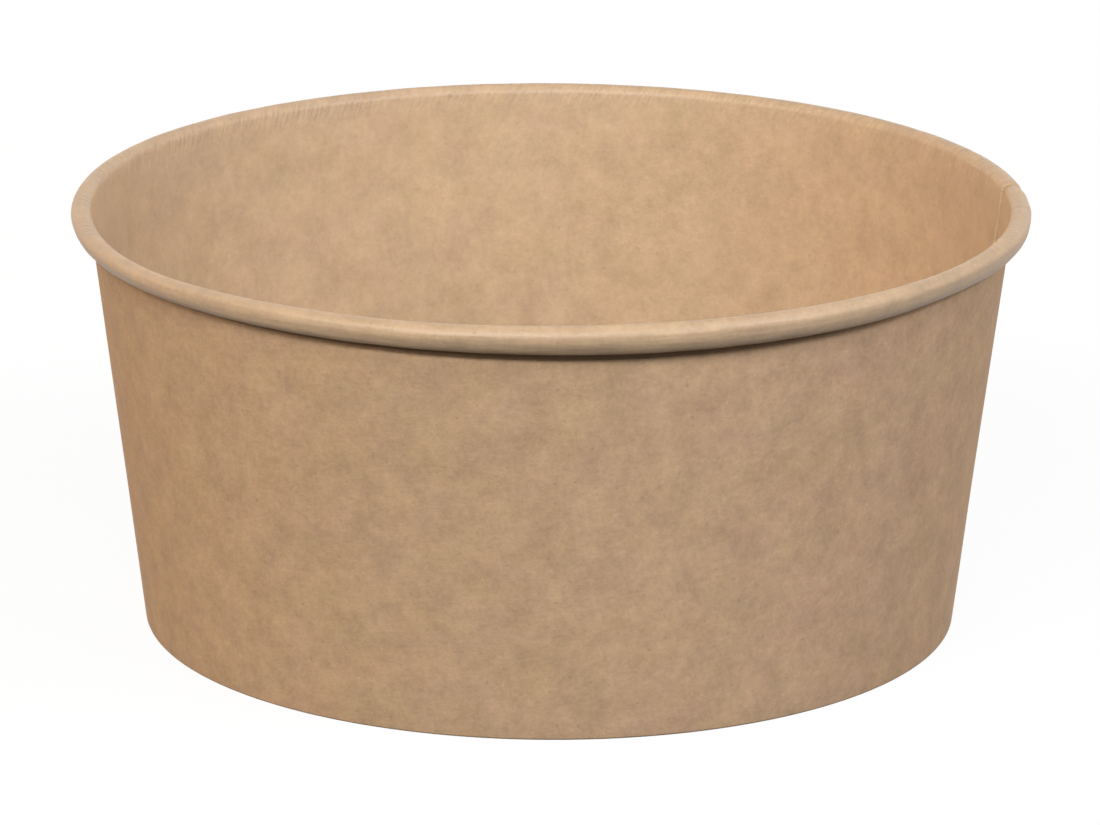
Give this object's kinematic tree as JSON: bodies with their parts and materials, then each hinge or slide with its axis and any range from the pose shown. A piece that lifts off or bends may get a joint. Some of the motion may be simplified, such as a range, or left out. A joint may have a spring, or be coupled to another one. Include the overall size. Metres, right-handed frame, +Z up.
{
  "type": "paper bowl",
  "caption": "Round kraft board bowl: tapered wall with one lapped seam, rolled rim, and a recessed bottom disc held by the folded foot.",
  "frame": {"origin": "middle of the footprint, on the table that the folded foot stands on", "axes": "+Z up along the bowl's axis and out of its mouth, +X to the right in the picture, +Y away from the camera; the seam's inner raw edge lies 8 degrees from +X toward +Y"},
  "size_m": [0.15, 0.15, 0.0676],
  "materials": {
    "wall_board": "matte",
    "disc_board": "matte"
  },
  "bodies": {
    "root": {"sidewall": "wall_board", "bottom_disc": "disc_board"}
  },
  "joints": []
}
